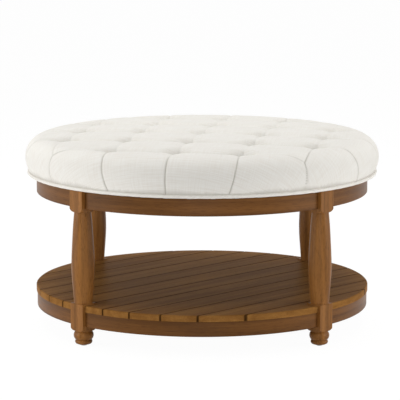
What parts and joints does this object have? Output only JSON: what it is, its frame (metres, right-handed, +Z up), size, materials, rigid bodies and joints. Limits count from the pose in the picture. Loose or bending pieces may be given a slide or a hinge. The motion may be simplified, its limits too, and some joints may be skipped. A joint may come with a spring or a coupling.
{
  "type": "storage ottoman",
  "caption": "Round tufted ottoman on turned legs, with an open slatted shelf for storage under the cushion and screw-in levelling glides.",
  "frame": {"origin": "on the floor, under the middle of the round shelf and cushion", "axes": "+Z up, -Y towards the front of the picture, +X to the picture's right; the four legs stand at 45 degrees to X and Y"},
  "size_m": [0.8098, 0.8098, 0.4429],
  "materials": {
    "linen_cloth": "matte",
    "welt_cloth": "matte",
    "stained_wood": "satin",
    "raw_wood": "matte",
    "plywood": "matte",
    "foam": "matte",
    "black_cambric": "matte",
    "twine": "matte",
    "zinc_steel": "satin",
    "brass_insert": "satin",
    "black_nylon": "satin"
  },
  "bodies": {
    "ottoman": {"apron_rail_back": "stained_wood", "apron_rail_front": "stained_wood", "apron_rail_left": "stained_wood", "apron_rail_right": "stained_wood", "board_screws": "zinc_steel", "brace_screws": "zinc_steel", "corner_brace_back_left": "raw_wood", "corner_brace_back_right": "raw_wood", "corner_brace_front_left": "raw_wood", "corner_brace_front_right": "raw_wood", "cover_buttons": "linen_cloth", "cover_staples": "zinc_steel", "deck_screws": "zinc_steel", "dust_cover": "black_cambric", "foam_pad": "foam", "frame_dowels": "raw_wood", "glide_inserts": "brass_insert", "leg_back_left": "stained_wood", "leg_back_right": "stained_wood", "leg_bolt_nuts": "zinc_steel", "leg_bolt_washers": "zinc_steel", "leg_bolts": "zinc_steel", "leg_front_left": "stained_wood", "leg_front_right": "stained_wood", "seat_deck": "plywood", "shelf_batten_left": "raw_wood", "shelf_batten_middle": "raw_wood", "shelf_batten_right": "raw_wood", "shelf_board_01": "stained_wood", "shelf_board_02": "stained_wood", "shelf_board_03": "stained_wood", "shelf_board_04": "stained_wood", "shelf_board_05": "stained_wood", "shelf_board_06": "stained_wood", "shelf_board_07": "stained_wood", "shelf_board_08": "stained_wood", "shelf_board_09": "stained_wood", "shelf_board_10": "stained_wood", "shelf_board_11": "stained_wood", "shelf_board_12": "stained_wood", "shelf_rail_back": "stained_wood", "shelf_rail_front": "stained_wood", "shelf_rail_left": "stained_wood", "shelf_rail_right": "stained_wood", "shelf_rail_screws": "zinc_steel", "tufted_cover": "linen_cloth", "tufting_twine": "twine", "twine_washers": "zinc_steel", "welt_piping": "welt_cloth"},
    "glide_front_left": {"glide_stem_front_left": "zinc_steel", "glide_pad_front_left": "black_nylon"},
    "glide_front_right": {"glide_stem_front_right": "zinc_steel", "glide_pad_front_right": "black_nylon"},
    "glide_back_left": {"glide_stem_back_left": "zinc_steel", "glide_pad_back_left": "black_nylon"},
    "glide_back_right": {"glide_stem_back_right": "zinc_steel", "glide_pad_back_right": "black_nylon"}
  },
  "joints": [
    {"name": "glide_front_left_height", "type": "slide", "parent": "ottoman", "child": "glide_front_left", "axis": [0, 0, -1], "range_m": [0, 0.008]},
    {"name": "glide_front_right_height", "type": "slide", "parent": "ottoman", "child": "glide_front_right", "axis": [0, 0, -1], "range_m": [0, 0.008]},
    {"name": "glide_back_left_height", "type": "slide", "parent": "ottoman", "child": "glide_back_left", "axis": [0, 0, -1], "range_m": [0, 0.008]},
    {"name": "glide_back_right_height", "type": "slide", "parent": "ottoman", "child": "glide_back_right", "axis": [0, 0, -1], "range_m": [0, 0.008]}
  ]
}
